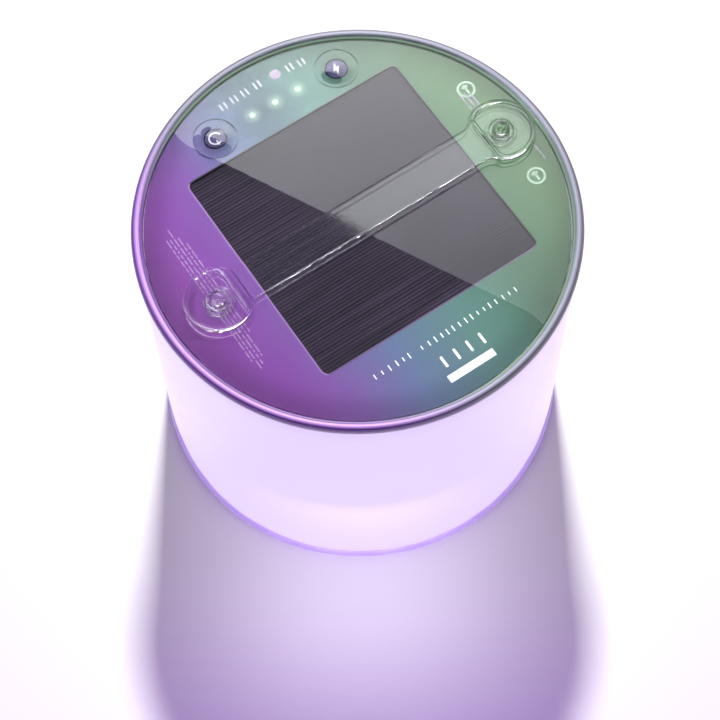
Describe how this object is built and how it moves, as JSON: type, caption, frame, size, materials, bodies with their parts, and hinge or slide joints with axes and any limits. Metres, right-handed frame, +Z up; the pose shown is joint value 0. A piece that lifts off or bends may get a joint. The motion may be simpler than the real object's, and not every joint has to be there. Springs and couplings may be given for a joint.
{
  "type": "inflatable solar lantern",
  "caption": "Inflatable drum-shaped solar lantern that floats, with a frosted film wall, a clear carry strap, a solar panel, press buttons and a blow-up valve.",
  "frame": {"origin": "centre of the underside, on the plane the lantern stands on", "axes": "+Z up; the strap runs along X; the buttons are on the +Y side"},
  "size_m": [0.127, 0.127, 0.11],
  "materials": {
    "frosted_film": "frosted film, lit from inside",
    "clear_film": "glossy clear film",
    "clear_moulding": "glossy clear soft plastic",
    "tinted_cover": "smooth cover, lit through from below",
    "clear_lens": "smooth, translucent",
    "cell_black": "satin solar cells with fine lines",
    "laminate": "matte",
    "board_green": "lacquered",
    "white_sheet": "matte white",
    "led_white": "smooth",
    "black_plastic": "matte",
    "button_grey": "matte",
    "battery_wrap": "satin foil",
    "foam_grey": "open foam",
    "red_wire": "satin",
    "black_wire": "satin",
    "screw_steel": "bright",
    "soft_pvc": "smooth, translucent"
  },
  "bodies": {
    "base": {"side_wall": "frosted_film", "bottom_film": "clear_film", "valve_flange": "soft_pvc", "valve_tube": "soft_pvc"},
    "head": {"top_rim": "clear_moulding", "top_film": "clear_film", "pocket_film": "clear_film", "module_cover": "tinted_cover", "lens_tray": "clear_lens", "solar_backplate": "laminate", "solar_cells": "cell_black", "circuit_board": "board_green", "reflector_sheet": "white_sheet", "colour_led_1": "led_white", "colour_led_2": "led_white", "colour_led_3": "led_white", "colour_led_4": "led_white", "colour_led_5": "led_white", "colour_led_6": "led_white", "colour_led_7": "led_white", "colour_led_8": "led_white", "gauge_led_1": "led_white", "gauge_led_2": "led_white", "gauge_led_3": "led_white", "housing_screw_1": "screw_steel", "housing_screw_2": "screw_steel", "housing_screw_3": "screw_steel", "housing_screw_4": "screw_steel", "battery_cell": "battery_wrap", "battery_pad": "foam_grey", "battery_lead_red": "red_wire", "battery_lead_black": "black_wire", "solar_lead_red": "red_wire", "solar_lead_black": "black_wire", "control_chip": "black_plastic", "charge_chip": "black_plastic", "driver_coil": "black_plastic", "power_switch": "black_plastic", "level_switch": "black_plastic", "power_membrane": "clear_film", "level_membrane": "clear_film", "strap_anchor_end": "clear_moulding", "strap_post_fixed": "clear_moulding", "strap_post_free": "clear_moulding"},
    "strap": {"strap_band": "clear_moulding"},
    "power_button": {"power_button": "button_grey"},
    "level_button": {"level_button": "button_grey"},
    "valve_plug": {"valve_plug": "soft_pvc"},
    "valve_flap": {"valve_flap": "soft_pvc"}
  },
  "joints": [
    {"name": "collapse", "type": "slide", "parent": "base", "child": "head", "axis": [0, 0, 1], "range_m": [-0.083, 0], "stiffness_N_per_m": 20, "springref_m": 0.15, "deforming": ["side_wall"]},
    {"name": "strap_lift", "type": "hinge", "parent": "head", "child": "strap", "pos_m": [-0.03785, 0.0006, 0.1095], "axis": [0, -1, 0], "range_deg": [0, 130]},
    {"name": "power_press", "type": "slide", "parent": "head", "child": "power_button", "axis": [0, 0, -1], "range_m": [0, 0.0005], "stiffness_N_per_m": 600, "springref_m": -0.0008, "deforming": ["power_membrane"]},
    {"name": "level_press", "type": "slide", "parent": "head", "child": "level_button", "axis": [0, 0, -1], "range_m": [0, 0.0005], "stiffness_N_per_m": 600, "springref_m": -0.0008, "deforming": ["level_membrane"]},
    {"name": "plug_open", "type": "hinge", "parent": "base", "child": "valve_plug", "pos_m": [0.0097, 0, 0.00115], "axis": [0, -1, 0], "range_deg": [0, 150]},
    {"name": "flap_open", "type": "hinge", "parent": "base", "child": "valve_flap", "pos_m": [-0.0056, 0, 0.00865], "axis": [0, -1, 0], "range_deg": [0, 40], "stiffness_Nm_per_rad": 0.0002, "springref_deg": -17.19}
  ]
}
